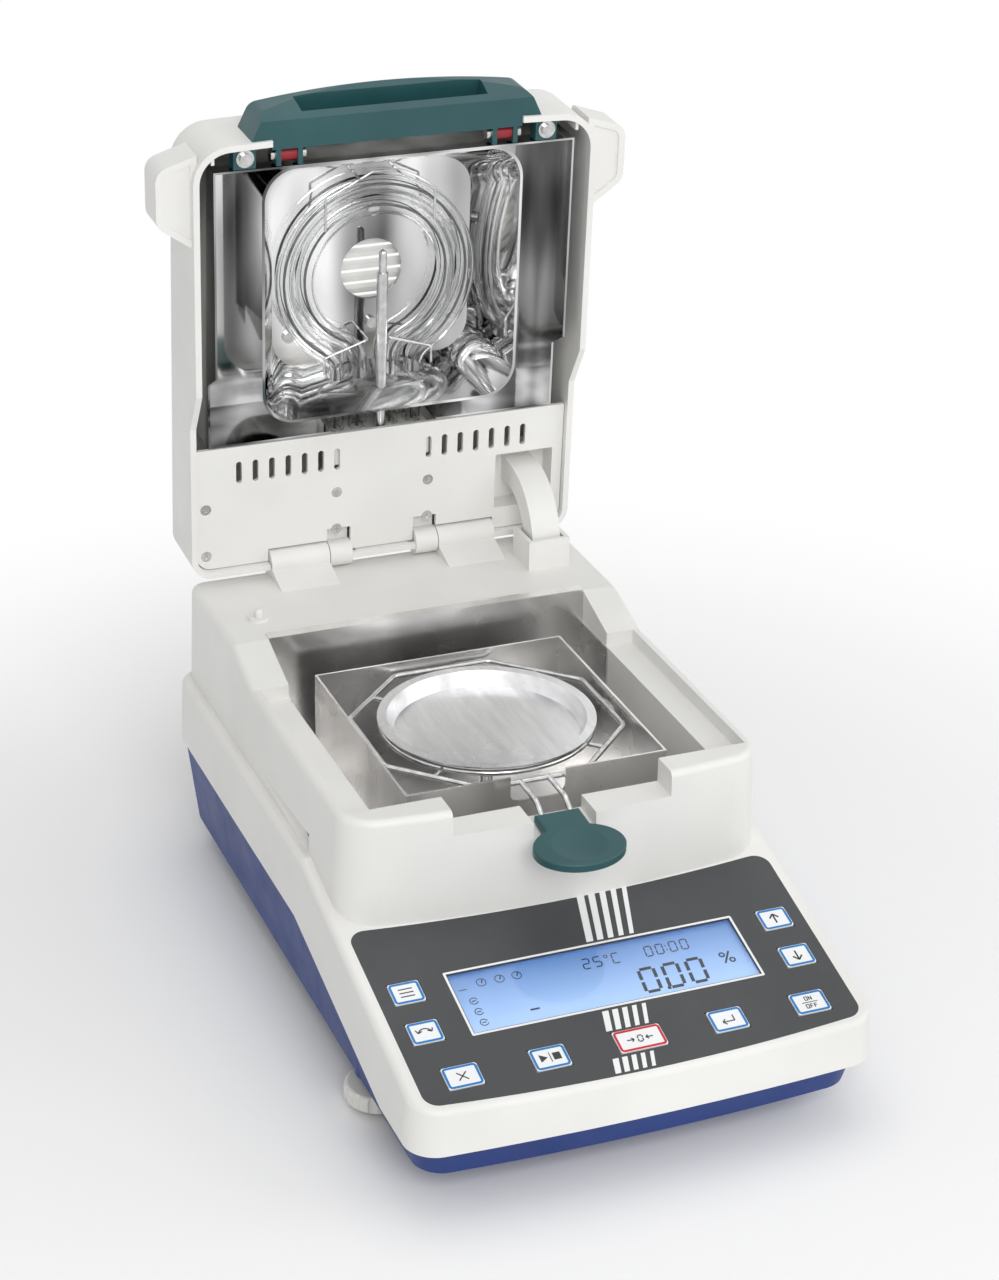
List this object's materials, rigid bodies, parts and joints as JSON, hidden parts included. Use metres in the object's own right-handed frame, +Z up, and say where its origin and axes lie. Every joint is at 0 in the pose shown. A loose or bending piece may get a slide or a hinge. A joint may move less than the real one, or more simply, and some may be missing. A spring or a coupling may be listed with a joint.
{
  "type": "moisture analyzer",
  "caption": "Bench moisture analyzer with a hinged heater lid, ring lamps over a dish in a draft shield, sloping keypad with a display, and levelling feet.",
  "frame": {"origin": "middle of the footprint on the floor, with the lid open", "axes": "+X to the right of a person facing the keypad, +Y from the keypad to the hinge, +Z up"},
  "size_m": [0.2188, 0.3595, 0.3669],
  "materials": {
    "housing_white": "fine matt moulded",
    "pan_blue": "semi-gloss moulded",
    "handle_teal": "satin moulded",
    "overlay_grey": "matt printed film",
    "key_white": "satin",
    "display_blue": "backlit",
    "window_clear": "clear",
    "board_green": "solder mask",
    "mirror_steel": "polished",
    "sheet_steel": "bright rolled",
    "dish_aluminium": "spun satin",
    "cell_aluminium": "milled",
    "wire_steel": "drawn",
    "lamp_glass": "clear tube",
    "filament_metal": "dark wire",
    "ceramic_white": "unglazed ceramic",
    "bush_red": "matt",
    "grommet_brown": "matt",
    "rubber_dark": "matt",
    "foot_white": "satin",
    "inlet_black": "satin"
  },
  "bodies": {
    "base": {"base_pan": "pan_blue", "upper_housing": "housing_white", "chamber_tub": "housing_white", "chamber_sill": "housing_white", "keypad_overlay": "overlay_grey", "display_window": "window_clear", "display_module": "display_blue", "keypad_board": "board_green", "chamber_liner": "sheet_steel", "pan_support": "wire_steel", "load_cell": "cell_aluminium", "main_board": "board_green", "power_supply": "board_green", "mains_inlet": "inlet_black", "serial_port": "wire_steel", "lid_switch": "inlet_black", "rear_feet": "rubber_dark", "hinge_pins": "wire_steel"},
    "lid": {"lid_shell": "housing_white", "vent_grille": "housing_white", "lid_cover": "housing_white", "lid_screws": "wire_steel", "heater_housing": "mirror_steel", "reflector": "mirror_steel", "halogen_lamps": "lamp_glass", "lamp_filaments": "filament_metal", "lamp_holders": "ceramic_white", "lamp_clips": "wire_steel", "temperature_probe": "wire_steel", "reflector_screws": "wire_steel", "lid_handle": "handle_teal", "handle_screws": "wire_steel", "bush_seals": "bush_red", "cable_duct": "housing_white", "duct_grommet": "grommet_brown"},
    "shield": {"draft_shield": "sheet_steel"},
    "lifter": {"lifter_frame": "wire_steel", "lifter_grip": "handle_teal"},
    "dish": {"sample_dish": "dish_aluminium"},
    "switch_plunger": {"lid_switch_plunger": "housing_white"},
    "key_menu": {"key_menu": "key_white"},
    "key_unit": {"key_unit": "key_white"},
    "key_escape": {"key_escape": "key_white"},
    "key_start_stop": {"key_start_stop": "key_white"},
    "key_tare": {"key_tare": "key_white"},
    "key_enter": {"key_enter": "key_white"},
    "key_power": {"key_power": "key_white"},
    "key_up": {"key_up": "key_white"},
    "key_down": {"key_down": "key_white"},
    "foot_left": {"foot_pad_left": "rubber_dark"},
    "wheel_left": {"foot_wheel_left": "foot_white"},
    "foot_right": {"foot_pad_right": "rubber_dark"},
    "wheel_right": {"foot_wheel_right": "foot_white"}
  },
  "joints": [
    {"name": "lid_hinge", "type": "hinge", "parent": "base", "child": "lid", "pos_m": [0, 0.1479, 0.1406], "axis": [-1, 0, 0], "range_deg": [-86.7, 0]},
    {"name": "shield_lift", "type": "slide", "parent": "base", "child": "shield", "axis": [0, 0, 1], "range_m": [0, 0.045]},
    {"name": "lifter_lift", "type": "slide", "parent": "shield", "child": "lifter", "axis": [0, 0, 1], "range_m": [0, 0.04]},
    {"name": "dish_lift", "type": "slide", "parent": "lifter", "child": "dish", "axis": [0, 0, 1], "range_m": [0, 0.03]},
    {"name": "plunger_press", "type": "slide", "parent": "base", "child": "switch_plunger", "axis": [0, 0, 1], "range_m": [-0.002, 0], "stiffness_N_per_m": 400},
    {"name": "key_menu_press", "type": "slide", "parent": "base", "child": "key_menu", "axis": [0, -0.2424, 0.9702], "range_m": [-0.0004, 0], "stiffness_N_per_m": 1500},
    {"name": "key_unit_press", "type": "slide", "parent": "base", "child": "key_unit", "axis": [0, -0.2424, 0.9702], "range_m": [-0.0004, 0], "stiffness_N_per_m": 1500},
    {"name": "key_escape_press", "type": "slide", "parent": "base", "child": "key_escape", "axis": [0, -0.2424, 0.9702], "range_m": [-0.0004, 0], "stiffness_N_per_m": 1500},
    {"name": "key_start_stop_press", "type": "slide", "parent": "base", "child": "key_start_stop", "axis": [0, -0.2424, 0.9702], "range_m": [-0.0004, 0], "stiffness_N_per_m": 1500},
    {"name": "key_tare_press", "type": "slide", "parent": "base", "child": "key_tare", "axis": [0, -0.2424, 0.9702], "range_m": [-0.0004, 0], "stiffness_N_per_m": 1500},
    {"name": "key_enter_press", "type": "slide", "parent": "base", "child": "key_enter", "axis": [0, -0.2424, 0.9702], "range_m": [-0.0004, 0], "stiffness_N_per_m": 1500},
    {"name": "key_power_press", "type": "slide", "parent": "base", "child": "key_power", "axis": [0, -0.2424, 0.9702], "range_m": [-0.0004, 0], "stiffness_N_per_m": 1500},
    {"name": "key_up_press", "type": "slide", "parent": "base", "child": "key_up", "axis": [0, -0.2424, 0.9702], "range_m": [-0.0004, 0], "stiffness_N_per_m": 1500},
    {"name": "key_down_press", "type": "slide", "parent": "base", "child": "key_down", "axis": [0, -0.2424, 0.9702], "range_m": [-0.0004, 0], "stiffness_N_per_m": 1500},
    {"name": "foot_left_height", "type": "slide", "parent": "base", "child": "foot_left", "axis": [0, 0, 1], "range_m": [-0.0025, 0.0025]},
    {"name": "foot_left_turn", "type": "hinge", "parent": "foot_left", "child": "wheel_left", "pos_m": [-0.086, -0.091, 0.007], "axis": [0, 0, 1], "range_deg": [-720, 720]},
    {"name": "foot_right_height", "type": "slide", "parent": "base", "child": "foot_right", "axis": [0, 0, 1], "range_m": [-0.0025, 0.0025]},
    {"name": "foot_right_turn", "type": "hinge", "parent": "foot_right", "child": "wheel_right", "pos_m": [0.086, -0.091, 0.007], "axis": [0, 0, 1], "range_deg": [-720, 720]}
  ],
  "couplings": [
    {"joint": "foot_left_turn", "follows": "foot_left_height", "rad_per_m": 5026.5},
    {"joint": "foot_right_turn", "follows": "foot_right_height", "rad_per_m": 5026.5}
  ]
}
